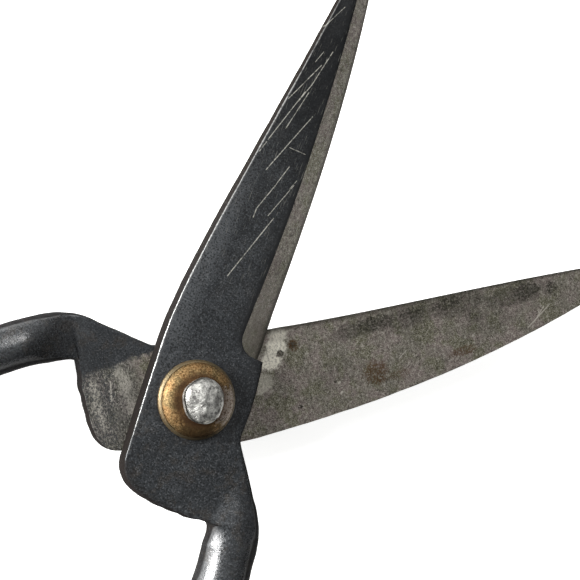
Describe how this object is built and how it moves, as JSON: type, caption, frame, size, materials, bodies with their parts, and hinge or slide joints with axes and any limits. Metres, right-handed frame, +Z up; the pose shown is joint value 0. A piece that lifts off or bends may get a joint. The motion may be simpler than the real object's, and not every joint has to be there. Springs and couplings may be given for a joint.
{
  "type": "fabric shears",
  "caption": "Hand-forged fabric shears shown open: tapered blades with ground edges, forged finger bows and a hammered rivet through cupped brass washers.",
  "frame": {"origin": "on the pivot axis, at the flat end of the rivet's back head, which is the lowest point", "axes": "+Z up the pivot axis, out of the front half's outer face; +Y midway between the two blades towards their tips; +X towards the back blade's tip and the front bow"},
  "size_m": [0.1647, 0.1906, 0.0188],
  "materials": {
    "front_forging": "blue-black forge oxide with a satin sheen, rubbed bright along the spine; inner face ground",
    "back_forging": "blue-black forge oxide outside; inner face ground grey, stained olive and brown",
    "front_edge": "ground steel, fine speckle",
    "back_edge": "ground steel, fine speckle and stains",
    "rivet": "hammered steel, flat facets",
    "front_washer_brass": "aged brass, browned, with a rubbed rim",
    "back_washer_brass": "aged brass, browned"
  },
  "bodies": {
    "lower_blade": {"back_half": "back_forging", "back_edge_steel": "back_edge", "pivot_rivet": "rivet", "front_washer": "front_washer_brass", "back_washer": "back_washer_brass"},
    "upper_blade": {"front_half": "front_forging", "front_edge_steel": "front_edge"}
  },
  "joints": [
    {"name": "blade_pivot", "type": "hinge", "parent": "lower_blade", "child": "upper_blade", "pos_m": [0, 0, 0.0094], "axis": [0, 0, 1], "range_deg": [-52, 36]}
  ]
}
